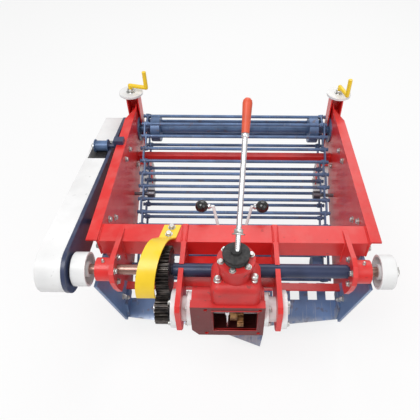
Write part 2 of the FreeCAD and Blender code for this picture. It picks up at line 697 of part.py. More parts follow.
def make_tray():
    """Dark tray behind the belt: a plate with a rim, on two spacers from the side plate."""
    outer = belt_outline(COVER_FRONT_R + 2, COVER_REAR_R + 2, -TRAY_OUT, -TRAY_IN)
    hollow = belt_outline(COVER_FRONT_R - 1, COVER_REAR_R - 1, -TRAY_OUT, -TRAY_IN - 3)
    tray = outer.cut(hollow)
    spacers = [round_x(y, z, 8, -TRAY_IN - 1, -OUTER_HALF) for y, z in ((300, 20), (690, 0))]
    tray = join([tray] + spacers)
    tray = tray.cut(round_x(SHAFT_Y, SHAFT_Z, SHAFT_RADIUS + 3, -TRAY_OUT - 1, -TRAY_IN + 1))
    return tray.cut(round_x(REAR_AXLE_Y, REAR_AXLE_Z, AXLE_RADIUS + BORE_GAP, -TRAY_OUT - 1, -TRAY_IN + 1))


def make_cover():
    """White cover over the belt, with its top open at the tension roller."""
    outer = belt_outline(COVER_FRONT_R, COVER_REAR_R, -COVER_OUT, -TRAY_OUT)
    inner = belt_outline(
        COVER_FRONT_R - COVER_WALL, COVER_REAR_R - COVER_WALL, -COVER_OUT + COVER_WALL, -TRAY_OUT + 1)
    cover = outer.cut(inner)
    return cover.cut(box(-COVER_OUT + 6, -TRAY_OUT + 1, WINDOW_FRONT_Y, WINDOW_REAR_Y, 20, 120))


def belt_top(y):
    """Height of the belt's upper face at a place along it."""
    slope = (REAR_AXLE_Z + BELT_REAR_R - SHAFT_Z - BELT_FRONT_R) / (REAR_AXLE_Y - SHAFT_Y)
    return SHAFT_Z + BELT_FRONT_R + (y - SHAFT_Y) * slope


def make_belt():
    x1 = -TRAY_OUT - 8
    x0 = x1 - BELT_WIDTH
    outer = belt_outline(BELT_FRONT_R, BELT_REAR_R, x0, x1)
    return outer.cut(belt_outline(BELT_FRONT_R - BELT_THICK, BELT_REAR_R - BELT_THICK, x0 - 1, x1 + 1))


def make_pulley(y, z, radius, bore):
    x1 = -TRAY_OUT - 6
    x0 = x1 - BELT_WIDTH - 4
    profile = [(x0, bore), (x0, radius), (x1, radius), (x1, bore)]
    return turned_x(profile, y, z)


def roller_z():
    return belt_top(ROLLER_Y) + ROLLER_RADIUS + 1


def make_tension_roller():
    x1 = -TRAY_OUT - 2
    x0 = x1 - ROLLER_WIDTH
    rim = ROLLER_RADIUS + 4
    profile = [
        (x0, 0), (x0, rim), (x0 + 3, rim), (x0 + 3, ROLLER_RADIUS), (x1 - 3, ROLLER_RADIUS), (x1 - 3, rim),
        (x1, rim), (x1, 0),
    ]
    return turned_x(profile, ROLLER_Y, roller_z())


def make_roller_bracket():
    """Block on the flange with a tab outside it that holds the roller's pin."""
    x1 = -TRAY_OUT - 2
    flange_edge = -OUTER_HALF - FLANGE_WIDTH
    tab = box(flange_edge - 9, flange_edge, ROLLER_Y - 13, ROLLER_Y + 13, PLATE_TOP - 20, PLATE_TOP + 14)
    block = box(flange_edge, flange_edge + 22, ROLLER_Y - 13, ROLLER_Y + 13, PLATE_TOP, PLATE_TOP + 14)
    pin = round_x(ROLLER_Y, roller_z(), 6, x1, flange_edge)
    return join([tab, block, pin])


GEAR_LEFT = ARM_LEFT - 13 - 6 - GEAR_WIDTH
DRUM_IN = OUTER_HALF + 1

output_left = (BOX_LEFT, ARM_LEFT + ARM_THICK, ARM_LEFT)
output_right = (BOX_RIGHT, ARM_RIGHT, ARM_RIGHT + ARM_THICK)
side_plate = make_side_plate()
bracket = make_bracket()
shovel_arm = make_shovel_arm()
post = make_post()
leg = make_leg()
wheel = make_wheel()
drum = make_drum()

nodes = {
    "side_plate_right": side_plate,
    "side_plate_left": mirrored(side_plate),
    "cross_beam": make_beam(),
    "rear_cross_tube": make_rear_tube(),
    "lower_cross_bar": make_lower_bar(),
    "gearbox_arm_left": make_arm(ARM_LEFT),
    "gearbox_arm_right": make_arm(ARM_RIGHT),
    "cradle_plate": make_cradle(),
    "shaft_bracket_right": bracket,
    "shaft_bracket_left": mirrored(bracket),
    "gearbox_body": make_gearbox(),
    "gearbox_cap": make_cap(),
    "lever_boot": make_boot(),
    "clutch_lever": make_lever(),
    "lever_grip": make_grip(),
    "output_flange_left": make_output_flange(*output_left),
    "output_flange_right": make_output_flange(*output_right),
    "gear_guard": make_gear_guard(),
    "knob_levers": make_knob_levers(),
    "lever_knobs": make_knobs(),
    "belt_tray": make_tray(),
    "belt_cover": make_cover(),
    "drive_belt": make_belt(),
    "driven_pulley": make_pulley(REAR_AXLE_Y, REAR_AXLE_Z, BELT_REAR_R - BELT_THICK - RUN_GAP,
                                 AXLE_RADIUS + BORE_GAP),
    "tension_roller": make_tension_roller(),
    "roller_bracket": make_roller_bracket(),
    "rod_conveyor": make_conveyor(),
    "conveyor_drive_axle": make_drive_axle(),
    "conveyor_front_axle": make_front_axle(),
    "support_rollers": make_support_rollers(),
    "shovel": make_shovel(),
    "share_point": make_share_point(),
    "shovel_arm_right": shovel_arm,
    "shovel_arm_left": mirrored(shovel_arm),
    "post_right": post,
    "post_left": mirrored(post),
    "screw_discs": pair(make_screw_disc()),
    "hand_cranks": Part.makeCompound([
        make_crank(-LEG_X, V(0.97, -0.24, 0)), make_crank(LEG_X, V(0.24, -0.97, 0))]),
    "leg_right": leg,
    "leg_left": mirrored(leg),
    "wheel_right": wheel,
    "wheel_left": mirrored(wheel),
    "cross_shaft": make_cross_shaft(),
    "shaft_gear": make_gear(),
    "end_drum_right": drum,
    "end_drum_left": mirrored(drum),
    "drive_pulley": make_pulley(SHAFT_Y, SHAFT_Z, BELT_FRONT_R - BELT_THICK - RUN_GAP,
                                SHAFT_RADIUS + BORE_GAP),
    "output_shaft": make_output_shaft(),
    "pinion_gear": make_pinion(),
    "hitch_gear": make_hitch_gear(),
}

for name, shape in nodes.items():
    shape.exportStep("parts/%s.step" % name)
    print(name, len(shape.Solids), shape.isValid(), round(shape.Volume / 1000, 1))
print("ground", GROUND, "output axis", OUTPUT_Y, OUTPUT_Z, "wheel axle", WHEEL_Z, "leg x", LEG_X)
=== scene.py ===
import math

import bmesh
import bpy
from bpy.props import FloatProperty, FloatVectorProperty, PointerProperty
from bpy.types import Operator, Panel, PropertyGroup
from mathutils import Matrix, Vector


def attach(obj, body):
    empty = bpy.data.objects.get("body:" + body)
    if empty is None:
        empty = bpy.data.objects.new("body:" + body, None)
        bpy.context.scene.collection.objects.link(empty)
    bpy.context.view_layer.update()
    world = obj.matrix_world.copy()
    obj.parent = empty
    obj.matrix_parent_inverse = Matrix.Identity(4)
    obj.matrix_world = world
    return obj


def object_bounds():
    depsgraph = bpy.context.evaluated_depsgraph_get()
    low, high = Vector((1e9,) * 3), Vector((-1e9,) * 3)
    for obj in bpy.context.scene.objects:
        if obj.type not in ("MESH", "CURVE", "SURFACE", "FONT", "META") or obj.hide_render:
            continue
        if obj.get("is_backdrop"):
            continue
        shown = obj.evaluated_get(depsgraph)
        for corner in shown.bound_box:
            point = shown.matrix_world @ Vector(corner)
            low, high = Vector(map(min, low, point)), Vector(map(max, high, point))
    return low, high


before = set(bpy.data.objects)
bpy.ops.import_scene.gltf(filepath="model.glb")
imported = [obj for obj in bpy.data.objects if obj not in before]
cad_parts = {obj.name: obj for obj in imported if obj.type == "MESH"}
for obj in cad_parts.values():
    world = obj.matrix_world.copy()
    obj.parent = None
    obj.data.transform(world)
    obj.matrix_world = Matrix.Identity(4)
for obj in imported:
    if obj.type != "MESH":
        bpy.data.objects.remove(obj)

bl_info = {
    "name": "Potato Harvester Dressing",
    "version": (1, 0, 0),
    "blender": (4, 5, 0),
    "location": "3D View > Sidebar > Harvester",
    "description": "Dresses the harvester with finishes, fasteners, welds and small fittings",
    "category": "Object",
}

FIXED = "harvester"

# Places on the solids, in metres. X runs to the right, Y to the rear and Z up.
SHAFT = (0.117, 0.043)  # cross shaft, as (y, z)
OUTPUT = (0.0388, -0.0045)  # output shaft, as (y, z)
AXLE = (0.8015, -0.0137)  # drive axle of the conveyor, as (y, z)
TOWER = (0.0065, 0.056)  # tower of the gearbox, as (x, y)
CAP_TOP = 0.167
BEAM_TOP = 0.063
INNER_WALL = 0.346
OUTER_WALL = 0.351
LEG_X = 0.363
LEG_Y = 0.832
WHEEL_Z = -0.2868
SHOVEL_TILT = math.radians(25)

SIDES = (-1, 1)  # left and right
UP = (0, 0, 1)
BACK = (0, 1, 0)

MERGE_GAP = 0.00001
SHARP_EDGE = math.radians(40)
SMOOTH_UNDER = math.radians(35)
TURN_STEP = 0.7  # each fastener of a set is turned this much more than the last
RIPPLE_STEP = 0.95  # distance of weld ripples, as a share of their radius
SMALL_EDGE = 0.0005
FINE_EDGE = 0.0004


class HarvesterColours(PropertyGroup):
    """Colours of the painted and coated pieces."""

    frame_red: FloatVectorProperty(
        name="Frame red", description="Paint of the plates, beam, arms and posts",
        subtype="COLOR", size=3, min=0, max=1, default=(0.70, 0.022, 0.020))
    gearbox_red: FloatVectorProperty(
        name="Gearbox red", description="Paint of the cast gearbox",
        subtype="COLOR", size=3, min=0, max=1, default=(0.60, 0.026, 0.026))
    rod_blue: FloatVectorProperty(
        name="Rod blue", description="Paint of the rods and the shovel",
        subtype="COLOR", size=3, min=0, max=1, default=(0.080, 0.135, 0.250))
    shaft_blue: FloatVectorProperty(
        name="Shaft blue", description="Dark paint of the shaft tube, shovel arms and belt tray",
        subtype="COLOR", size=3, min=0, max=1, default=(0.028, 0.040, 0.095))
    guard_yellow: FloatVectorProperty(
        name="Guard yellow", description="Paint of the gear guard and the hand cranks",
        subtype="COLOR", size=3, min=0, max=1, default=(0.93, 0.62, 0.02))
    cover_white: FloatVectorProperty(
        name="Cover white", description="Paint of the belt cover, drums and discs",
        subtype="COLOR", size=3, min=0, max=1, default=(0.80, 0.80, 0.80))
    grip_orange: FloatVectorProperty(
        name="Grip orange", description="Plastic of the clutch lever's grip",
        subtype="COLOR", size=3, min=0, max=1, default=(0.62, 0.085, 0.035))


class HarvesterSizes(PropertyGroup):
    """Sizes of the small fittings."""

    bolt_radius: FloatProperty(
        name="Bolt head radius", description="Corner radius of the common hexagon heads",
        default=0.0075, min=0.004, max=0.012, unit="LENGTH")
    weld_radius: FloatProperty(
        name="Weld size", description="Half width of the weld beads",
        default=0.0028, min=0.001, max=0.006, unit="LENGTH")
    wear: FloatProperty(
        name="Wear", description="How much of the paint is rubbed or dusty",
        default=0.5, min=0, max=1, subtype="FACTOR")


class Value:
    """A shader socket that takes part in Python arithmetic."""

    def __init__(self, finish, socket):
        self.finish = finish
        self.socket = socket

    def _math(self, operation, first, second=None, clamp=False):
        inputs = {0: first} if second is None else {0: first, 1: second}
        settings = {"operation": operation, "use_clamp": clamp}
        return self.finish.node("ShaderNodeMath", settings, inputs)

    def __add__(self, other):
        return self._math("ADD", self, other)

    def __radd__(self, other):
        return self._math("ADD", other, self)

    def __sub__(self, other):
        return self._math("SUBTRACT", self, other)

    def __rsub__(self, other):
        return self._math("SUBTRACT", other, self)

    def __mul__(self, other):
        return self._math("MULTIPLY", self, other)

    def __truediv__(self, other):
        return self._math("DIVIDE", self, other)

    def above(self, level, soft=0.05):
        """0 below the level and 1 above it, with a soft step."""
        return self._math("ADD", (self - level) / soft, 0.5, clamp=True)

    def held(self):
        """Kept between 0 and 1."""
        return self._math("ADD", self, 0.0, clamp=True)


class Finish:
    """A material and the one method that adds nodes to it."""

    def __init__(self, name):
        self.material = bpy.data.materials.new(name)
        self.material.use_nodes = True
        self.tree = self.material.node_tree
        self.shader = self.tree.nodes["Principled BSDF"]
        self.place = self.node("ShaderNodeTexCoord", output="Object")

    def node(self, kind, settings=None, inputs=None, output=0):
        made = self.tree.nodes.new(kind)
        for key, value in (settings or {}).items():
            setattr(made, key, value)
        for key, value in (inputs or {}).items():
            self.feed(made.inputs[key], value)
        return Value(self, made.outputs[output])

    def feed(self, socket, value):
        if isinstance(value, Value):
            self.tree.links.new(value.socket, socket)
        else:
            socket.default_value = value

    def noise(self, scale, detail=3.0, stretch=None):
        vector = self.place
        if stretch:
            vector = self.node("ShaderNodeMapping", None, {"Vector": vector, "Scale": stretch})
        return self.node(
            "ShaderNodeTexNoise", None, {"Vector": vector, "Scale": scale, "Detail": detail})

    def axis(self, name):
        return self.node("ShaderNodeSeparateXYZ", None, {"Vector": self.place}, output=name)

    def within(self, name, low, high):
        """1 between two places along an axis."""
        place = self.axis(name)
        return place.above(low, 0.001) * (high - place).above(0.0, 0.001)

    def facing(self, name):
        normal = self.node("ShaderNodeTexCoord", output="Normal")
        return self.node("ShaderNodeSeparateXYZ", None, {"Vector": normal}, output=name)

    def blend(self, factor, first, second):
        return self.node(
            "ShaderNodeMix", {"data_type": "RGBA"}, {0: factor, 6: first, 7: second}, output=2)

    def set(self, **values):
        for key, value in values.items():
            self.feed(self.shader.inputs[key.replace("_", " ")], value)
        return self

    def bump(self, height, strength, distance):
        normal = self.node(
            "ShaderNodeBump", None, {"Strength": strength, "Distance": distance, "Height": height})
        return self.set(Normal=normal)


def rgba(colour, gain=1.0):
    return tuple(min(1.0, c * gain) for c in colour) + (1.0,)


def paint_coat(finish, colour, wear, rough=0.34):
    """Brushed-on machine enamel: cloudy tone, dust on top faces, rubbed spots and orange peel."""
    cloud = finish.noise(7.0, 4.0)
    tone = finish.blend(cloud.above(0.5, 0.5), rgba(colour, 0.84), rgba(colour, 1.12))
    top = finish.facing("Z").above(0.75, 0.3)
    dust = top * finish.noise(26.0, 5.0).above(0.56, 0.25) * (0.16 * wear)
    tone = finish.blend(dust, tone, (0.62, 0.52, 0.46, 1))
    rub = finish.noise(60.0, 8.0).above(0.69, 0.03) * finish.noise(9.0).above(0.5, 0.1) * wear
    tone = finish.blend(rub, tone, rgba(colour, 0.35))
    finish.set(Base_Color=tone, Roughness=finish.noise(30.0) * 0.14 + (rough - 0.07) + dust * 1.2)
    finish.set(Coat_Roughness=0.15, Coat_Weight=0.12)
    return finish.bump(finish.noise(420.0, 2.0) + finish.noise(24.0, 2.0) * 1.4, 0.12, 0.0008)


def frame_red(colours, wear):
    return paint_coat(Finish("frame_red"), colours.frame_red, wear)


def gearbox_red(colours, wear):
    """Cast iron under paint: sand texture, with painted shade on the hitch face (over its own
    darker primer) and inside the window.
    """
    finish = Finish("gearbox_red")
    base = colours.gearbox_red
    cloud = finish.noise(14.0, 5.0)
    tone = finish.blend(cloud.above(0.5, 0.4), rgba(base, 0.78), rgba(base, 1.15))
    along = finish.axis("Y")
    # Painted shade, partly the face's own darker primer: the forward-facing hitch face is darkened
    # to maroon.
    face = (0.0 - finish.facing("Y")).above(0.9, 0.1) * (0.003 - along).above(0.0, 0.001)
    tone = finish.blend(face * (0.68 + cloud * 0.4), tone, (0.075, 0.010, 0.012, 1))
    # Painted shade: the inside of the hitch window's recess is darkened nearly to black.
    inside = along.above(0.006, 0.004) * (0.088 - along).above(0.0, 0.002)
    inside = inside * finish.within("X", -0.0455, 0.0575) * finish.within("Z", -0.0535, 0.0435)
    tone = finish.blend(inside * 0.93, tone, (0.022, 0.010, 0.009, 1))
    chip = finish.noise(70.0, 8.0).above(0.66, 0.03) * wear
    tone = finish.blend(chip, tone, (0.10, 0.04, 0.035, 1))
    finish.set(Base_Color=tone, Roughness=cloud * 0.2 + 0.36)
    return finish.bump(finish.noise(330.0, 4.0) + finish.noise(60.0, 3.0), 0.35, 0.0012)


def rod_blue(colours, wear):
    """Thin blue paint over steel, with brown dust and worn bright spots."""
    finish = Finish("rod_blue")
    base = colours.rod_blue
    cloud = finish.noise(22.0, 5.0)
    tone = finish.blend(cloud.above(0.5, 0.4), rgba(base, 0.85), rgba(base, 1.5))
    soil = finish.noise(48.0, 6.0).above(0.62, 0.06) * finish.noise(5.0).above(0.5, 0.2) * wear
    tone = finish.blend(soil, tone, (0.16, 0.10, 0.065, 1))
    worn = finish.noise(160.0, 4.0, (1, 0.2, 0.2)).above(0.68, 0.04) * (0.7 * wear)
    tone = finish.blend(worn, tone, (0.34, 0.38, 0.44, 1))
    finish.set(Base_Color=tone, Roughness=cloud * 0.2 + 0.28 + soil * 0.3,
               Metallic=0.25 + worn * 0.6)
    return finish.bump(finish.noise(260.0, 3.0), 0.15, 0.0006)


def shovel_blue(colours, wear):
    """Blade paint with a rubbed bright cutting edge and long scratches."""
    finish = Finish("shovel_blue")
    base = colours.rod_blue
    cloud = finish.noise(10.0, 5.0)
    tone = finish.blend(cloud.above(0.5, 0.4), rgba(base, 1.3), rgba(base, 2.1))
    scratch = finish.noise(120.0, 3.0, (1.0, 0.06, 0.06)).above(0.63, 0.03) * wear
    edge = (0.225 - finish.axis("Y")).above(0.012, 0.02) * finish.noise(60.0).above(0.42, 0.2)
    tone = finish.blend((scratch + edge * 0.8).held(), tone, (0.42, 0.45, 0.50, 1))
    soil = finish.noise(40.0, 6.0).above(0.62, 0.08) * wear
    tone = finish.blend(soil, tone, (0.15, 0.10, 0.07, 1))
    finish.set(Base_Color=tone, Roughness=cloud * 0.2 + 0.26 + soil * 0.3,
               Metallic=0.25 + edge * 0.6)
    return finish.bump(finish.noise(180.0, 3.0) + scratch * 0.6, 0.18, 0.0006)


def arm_blue(colours, wear):
    return paint_coat(Finish("arm_blue"), [c * 1.6 for c in colours.rod_blue], wear, 0.36)


def shaft_blue(colours, wear):
    return paint_coat(Finish("shaft_blue"), colours.shaft_blue, wear, 0.36)


def guard_yellow(colours, wear):
    return paint_coat(Finish("guard_yellow"), colours.guard_yellow, wear, 0.32)


def cover_white(colours, wear):
    return paint_coat(Finish("cover_white"), colours.cover_white, wear * 0.6, 0.4)


def steel(name, colour, rough, streak=(1, 12, 12), rust=0.0):
    """Turned or drawn steel, with fine streaks and, if asked, a bloom of rust."""
    finish = Finish(name)
    line = finish.noise(180.0, 4.0, streak)
    tone = finish.blend(line.above(0.5, 0.4), rgba(colour, 0.8), rgba(colour, 1.15))
    bloom = finish.noise(30.0, 6.0).above(0.55, 0.12) * rust
    tone = finish.blend(bloom, tone, (0.20, 0.075, 0.04, 1))
    finish.set(Base_Color=tone, Roughness=line * 0.15 + rough + bloom * 0.35,
               Metallic=0.95 - bloom * 0.7)
    return finish.bump(line + bloom, 0.12, 0.0004)


def cross_shaft_finish(colours, wear):
    """Dark painted tube in the middle and rust-dulled steel at the left end."""
    finish = Finish("cross_shaft_finish")
    line = finish.noise(160.0, 4.0, (1, 10, 10))
    bare = finish.blend(line.above(0.5, 0.4), (0.26, 0.13, 0.10, 1), (0.46, 0.30, 0.26, 1))
    base = colours.shaft_blue
    cloud = finish.noise(18.0, 4.0).above(0.5, 0.4)
    painted = finish.blend(cloud, rgba(base, 0.7), rgba(base, 1.25))
    tube = finish.axis("X").above(-0.151, 0.002) * (0.288 - finish.axis("X")).above(0.0, 0.002)
    finish.set(Base_Color=finish.blend(tube, bare, painted), Roughness=line * 0.12 + 0.3,
               Metallic=0.9 - tube * 0.75)
    return finish.bump(line, 0.1, 0.0004)


def gear_dark(colours, wear):
    """Black oiled gear blank with bright rubbed tooth flanks."""
    finish = Finish("gear_dark")
    speck = finish.noise(90.0, 5.0)
    tone = finish.blend(speck.above(0.5, 0.3), (0.022, 0.020, 0.021, 1), (0.075, 0.062, 0.055, 1))
    rub = finish.noise(200.0, 3.0, (0.1, 1, 1)).above(0.62, 0.04) * 0.5
    tone = finish.blend(rub, tone, (0.30, 0.27, 0.24, 1))
    finish.set(Base_Color=tone, Roughness=speck * 0.25 + 0.25, Metallic=0.75)
    return finish.bump(speck, 0.2, 0.0005)


def gear_brown(colours, wear):
    """Grease-brown gear seen in the hitch window."""
    finish = Finish("gear_brown")
    speck = finish.noise(110.0, 5.0)
    tone = finish.blend(speck.above(0.5, 0.3), (0.12, 0.055, 0.022, 1), (0.42, 0.22, 0.09, 1))
    finish.set(Base_Color=tone, Roughness=speck * 0.25 + 0.22, Metallic=0.7)
    return finish.bump(speck, 0.2, 0.0005)


def rubber_black(colours, wear):
    finish = Finish("rubber_black")
    speck = finish.noise(140.0, 5.0)
    tone = finish.blend(speck.above(0.55, 0.3), (0.012, 0.012, 0.013, 1), (0.045, 0.043, 0.042, 1))
    finish.set(Base_Color=tone, Roughness=speck * 0.2 + 0.5)
    return finish.bump(speck, 0.25, 0.0006)


def knob_black(colours, wear):
    finish = Finish("knob_black")
    speck = finish.noise(50.0, 4.0)
    tone = finish.blend(speck.above(0.55, 0.3), (0.006, 0.006, 0.007, 1), (0.018, 0.018, 0.02, 1))
    finish.set(Base_Color=tone, Roughness=speck * 0.08 + 0.1)
    finish.set(Coat_Weight=0.5)
    return finish.bump(finish.noise(300.0), 0.03, 0.0003)


def grip_orange(colours, wear):
    """Moulded grip with a pebbled skin that is darker where hands hold it."""
    finish = Finish("grip_orange")
    base = colours.grip_orange
    cloud = finish.noise(20.0, 4.0)
    tone = finish.blend(cloud.above(0.5, 0.4), rgba(base, 0.8), rgba(base, 1.18))
    grime = finish.noise(45.0, 5.0).above(0.6, 0.1) * (0.4 * wear)
    tone = finish.blend(grime, tone, (0.12, 0.04, 0.03, 1))
    finish.set(Base_Color=tone, Roughness=cloud * 0.15 + 0.36)
    return finish.bump(finish.noise(380.0, 2.0), 0.2, 0.0006)


def bright_zinc(colours, wear):
    """Zinc-plated fasteners."""
    return steel("bright_zinc", (0.62, 0.62, 0.60), 0.24, (1, 1, 1), 0.25 * wear)


def lever_steel(colours, wear):
    return steel("lever_steel", (0.74, 0.74, 0.76), 0.16, (1, 1, 12), 0.0)


def plain_steel(colours, wear):
    return steel("plain_steel", (0.55, 0.55, 0.57), 0.26, (1, 12, 12), 0.15)


def dark_steel(colours, wear):
    return steel("dark_steel", (0.10, 0.10, 0.115), 0.34, (1, 12, 12), 0.3 * wear)


NODE_FINISHES = {
    frame_red: (
        "side_plate_right", "side_plate_left", "cross_beam", "rear_cross_tube", "lower_cross_bar",
        "gearbox_arm_left", "gearbox_arm_right", "cradle_plate", "shaft_bracket_right",
        "shaft_bracket_left", "post_right", "post_left", "leg_right", "leg_left"),
    gearbox_red: ("gearbox_body", "gearbox_cap"),
    rod_blue: ("rod_conveyor", "conveyor_drive_axle", "conveyor_front_axle", "tension_roller"),
    shovel_blue: ("shovel", "share_point"),
    arm_blue: ("shovel_arm_right", "shovel_arm_left"),
    shaft_blue: ("belt_tray", "roller_bracket"),
    cross_shaft_finish: ("cross_shaft",),
    plain_steel: ("output_shaft",),
    lever_steel: ("clutch_lever",),
    dark_steel: ("support_rollers", "driven_pulley", "drive_pulley"),
    gear_dark: ("shaft_gear", "pinion_gear"),
    gear_brown: ("hitch_gear",),
    guard_yellow: ("gear_guard", "hand_cranks"),
    cover_white: (
        "belt_cover", "end_drum_right", "end_drum_left", "output_flange_left",
        "output_flange_right", "screw_discs", "knob_levers", "wheel_right", "wheel_left"),
    rubber_black: ("drive_belt", "lever_boot"),
    knob_black: ("lever_knobs",),
    grip_orange: ("lever_grip",),
}


def finish_named(maker):
    """The material that a maker function gives, made once."""
    found = bpy.data.materials.get(maker.__name__)
    if found:
        return found
    scene = bpy.context.scene
    return maker(scene.harvester_colours, scene.harvester_sizes.wear).material


def deselect():
    """Leaves edit mode and clears the selection."""
    if bpy.context.object and bpy.context.object.mode != "OBJECT":
        bpy.ops.object.mode_set(mode="OBJECT")
    bpy.ops.object.select_all(action="DESELECT")


def settle(piece):
    """Puts the object's place into its mesh."""
    deselect()
    piece.select_set(True)
    bpy.context.view_layer.objects.active = piece
    bpy.ops.object.transform_apply(location=True, rotation=True, scale=True)
    return piece


def pick_faces(piece, wanted):
    """In edit mode, selects only the faces that the test wants."""
    bpy.ops.mesh.select_mode(type="FACE")
    bpy.ops.mesh.select_all(action="DESELECT")
    work = bmesh.from_edit_mesh(piece.data)
    for face in work.faces:
        if wanted(face):
            face.select_set(True)
    bmesh.update_edit_mesh(piece.data)


def closed_up(piece):
    """Merges doubled corners and turns every face outwards."""
    deselect()
    piece.select_set(True)
    bpy.context.view_layer.objects.active = piece
    bpy.ops.object.mode_set(mode="EDIT")
    bpy.ops.mesh.select_all(action="SELECT")
    bpy.ops.mesh.remove_doubles(threshold=MERGE_GAP)
    bpy.ops.mesh.normals_make_consistent(inside=False)
    bpy.ops.object.mode_set(mode="OBJECT")
    return piece


def rounded(piece, width, segments=2):
    """Bevels sharp edges and smooths the rest."""
    deselect()
    piece.select_set(True)
    bpy.context.view_layer.objects.active = piece
    bevel = piece.modifiers.new("edge", "BEVEL")
    bevel.width = width
    bevel.segments = segments
    bevel.limit_method = "ANGLE"
    bevel.angle_limit = SHARP_EDGE
    bpy.ops.object.modifier_apply(modifier=bevel.name)
    bpy.ops.object.shade_smooth_by_angle(angle=SMOOTH_UNDER)
    return piece


def turned(profile, segments=40):
    """Round shape about Z, extruded ring by ring through (radius, height) pairs."""
    deselect()
    (radius, height), rings = profile[0], profile[1:]
    bpy.ops.mesh.primitive_circle_add(
        vertices=segments, radius=radius, fill_type="NGON", location=(0, 0, height))
    piece = settle(bpy.context.object)
    bpy.ops.object.mode_set(mode="EDIT")
    bpy.ops.mesh.select_all(action="SELECT")
    for next_radius, next_height in rings:
        bpy.ops.mesh.extrude_region_move(
            TRANSFORM_OT_translate={"value": (0, 0, next_height - height)})
        grow = next_radius / radius
        bpy.ops.transform.resize(value=(grow, grow, 1), center_override=(0, 0, next_height))
        radius, height = next_radius, next_height
    bpy.ops.object.mode_set(mode="OBJECT")
    return closed_up(piece)


def hex_bolt(radius, height, stud=0.0):
    """Hexagon head or nut on a washer, with a chamfered top and, if asked, a stud end."""
    deselect()
    washer = radius * 0.22
    bpy.ops.mesh.primitive_cylinder_add(
        vertices=6, radius=radius, depth=height, location=(0, 0, washer + height / 2))
    piece = settle(bpy.context.object)
    bpy.ops.object.mode_set(mode="EDIT")
    pick_faces(piece, lambda face: face.normal.z > 0.9)
    bpy.ops.mesh.inset(thickness=radius * 0.14, depth=radius * 0.1)
    if stud:
        bpy.ops.mesh.inset(thickness=radius * 0.24, depth=0)
        bpy.ops.mesh.extrude_region_move(TRANSFORM_OT_translate={"value": (0, 0, stud)})
    bpy.ops.mesh.primitive_cylinder_add(
        vertices=20, radius=radius * 1.3, depth=washer, location=(0, 0, washer / 2))
    bpy.ops.object.mode_set(mode="OBJECT")
    return rounded(closed_up(piece), radius * 0.06, 1)


def aimed(point, direction, spin):
    """Takes a shape that stands on the origin along Z to a point and a direction."""
    turn = Vector(direction).to_track_quat("Z", "Y").to_matrix().to_4x4()
    return Matrix.Translation(point) @ turn @ Matrix.Rotation(spin, 4, "Z")


def placed(base, moves):
    """One object with a copy of the base at each matrix."""
    made = []
    for move in moves:
        twin = base.copy()
        twin.data = base.data.copy()
        twin.data.transform(move)
        bpy.context.scene.collection.objects.link(twin)
        made.append(twin)
    bpy.data.objects.remove(base)
    return joined(made)


def copies(base, places):
    """One object with a copy of the base at each (point, direction)."""
    return placed(base, [
        aimed(point, direction, number * TURN_STEP)
        for number, (point, direction) in enumerate(places)])


def moved(piece, *place):
    """Shifts the piece's mesh by x, y and z."""
    piece.data.transform(Matrix.Translation(place))
    return piece


def joined(made):
    """One object from several, which keeps the first one's place."""
    deselect()
    for piece in made:
        piece.select_set(True)
    bpy.context.view_layer.objects.active = made[0]
    if len(made) > 1:
        bpy.ops.object.join()
    return bpy.context.view_layer.objects.active


def finished(piece, name, maker, body=FIXED):
    """Names the piece, gives it its material and its body."""
    piece.name = name
    piece.data.name = name
    piece.data.materials.clear()
    piece.data.materials.append(finish_named(maker))
    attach(piece, body)
    return piece


def bolts(name, places, radius, height, stud=0.0, maker=bright_zinc, body=FIXED):
    """A named set of hexagon heads or nuts at the given places."""
    return finished(copies(hex_bolt(radius, height, stud), places), name, maker, body)


def block(low, high, edge):
    """Box between two corners with rounded edges."""
    deselect()
    low, high = Vector(low), Vector(high)
    bpy.ops.mesh.primitive_cube_add(size=1, location=(low + high) / 2, scale=high - low)
    piece = settle(bpy.context.object)
    return rounded(piece, edge)


def ring_places(centre, radius, count, axis, start=0.0):
    """Places on a circle about an axis along X, -X or Z."""
    places = []
    for number in range(count):
        angle = start + number * 2 * math.pi / count
        across, up = radius * math.cos(angle), radius * math.sin(angle)
        offset = {"X": (0, across, up), "Z": (across, up, 0)}[axis[-1]]
        way = {"X": (1, 0, 0), "Z": UP}[axis[-1]]
        sign = -1 if axis.startswith("-") else 1
        places.append((Vector(centre) + Vector(offset), Vector(way) * sign))
    return places


def wall_places(x, spots, way):
    """Places at (y, z) spots of a wall at x, facing along X."""
    return [((x, y, z), (way, 0, 0)) for y, z in spots]


def weld_bead(runs, radius):
    """Overlapping weld ripples along straight runs."""
    deselect()
    bpy.ops.mesh.primitive_ico_sphere_add(subdivisions=2, radius=radius, scale=(1.0, 1.15, 0.75))
    base = settle(bpy.context.object)
    bpy.ops.object.shade_smooth()
    places = []
    for start, end in runs:
        start, end = Vector(start), Vector(end)
        count = max(2, int((end - start).length / (radius * RIPPLE_STEP)))
        way = (end - start).normalized()
        places += [(start + (end - start) * (i / count), way) for i in range(count + 1)]
    return copies(base, places)


class PaintNodes(Operator):
    """Give every solid of the harvester its finish"""

    bl_idname = "harvester.paint_nodes"
    bl_label = "Paint solids"

    def execute(self, context):
        painted = set()
        for maker, nodes in NODE_FINISHES.items():
            material = finish_named(maker)
            for node in nodes:
                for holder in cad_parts[node].material_slots:
                    holder.material = material
                painted.add(node)
        bare = set(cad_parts) - painted
        if bare:
            raise RuntimeError("no finish for %s" % sorted(bare))
        return {"FINISHED"}


CAP_RING = 0.0345

# Rings of four nuts about the output shaft: name, share of the common head radius,
# height, radius of the ring, first angle, and each face's x with the way it looks
OUTPUT_NUTS = (
    ("side_flange_nuts", 0.75, 0.004, 0.0345, 0.6, ((-0.107, "-X"), (0.084, "X"))),
    ("output_disc_nuts", 0.85, 0.005, 0.036, 0.2, ((-0.145, "-X"), (0.127, "X"))),
)

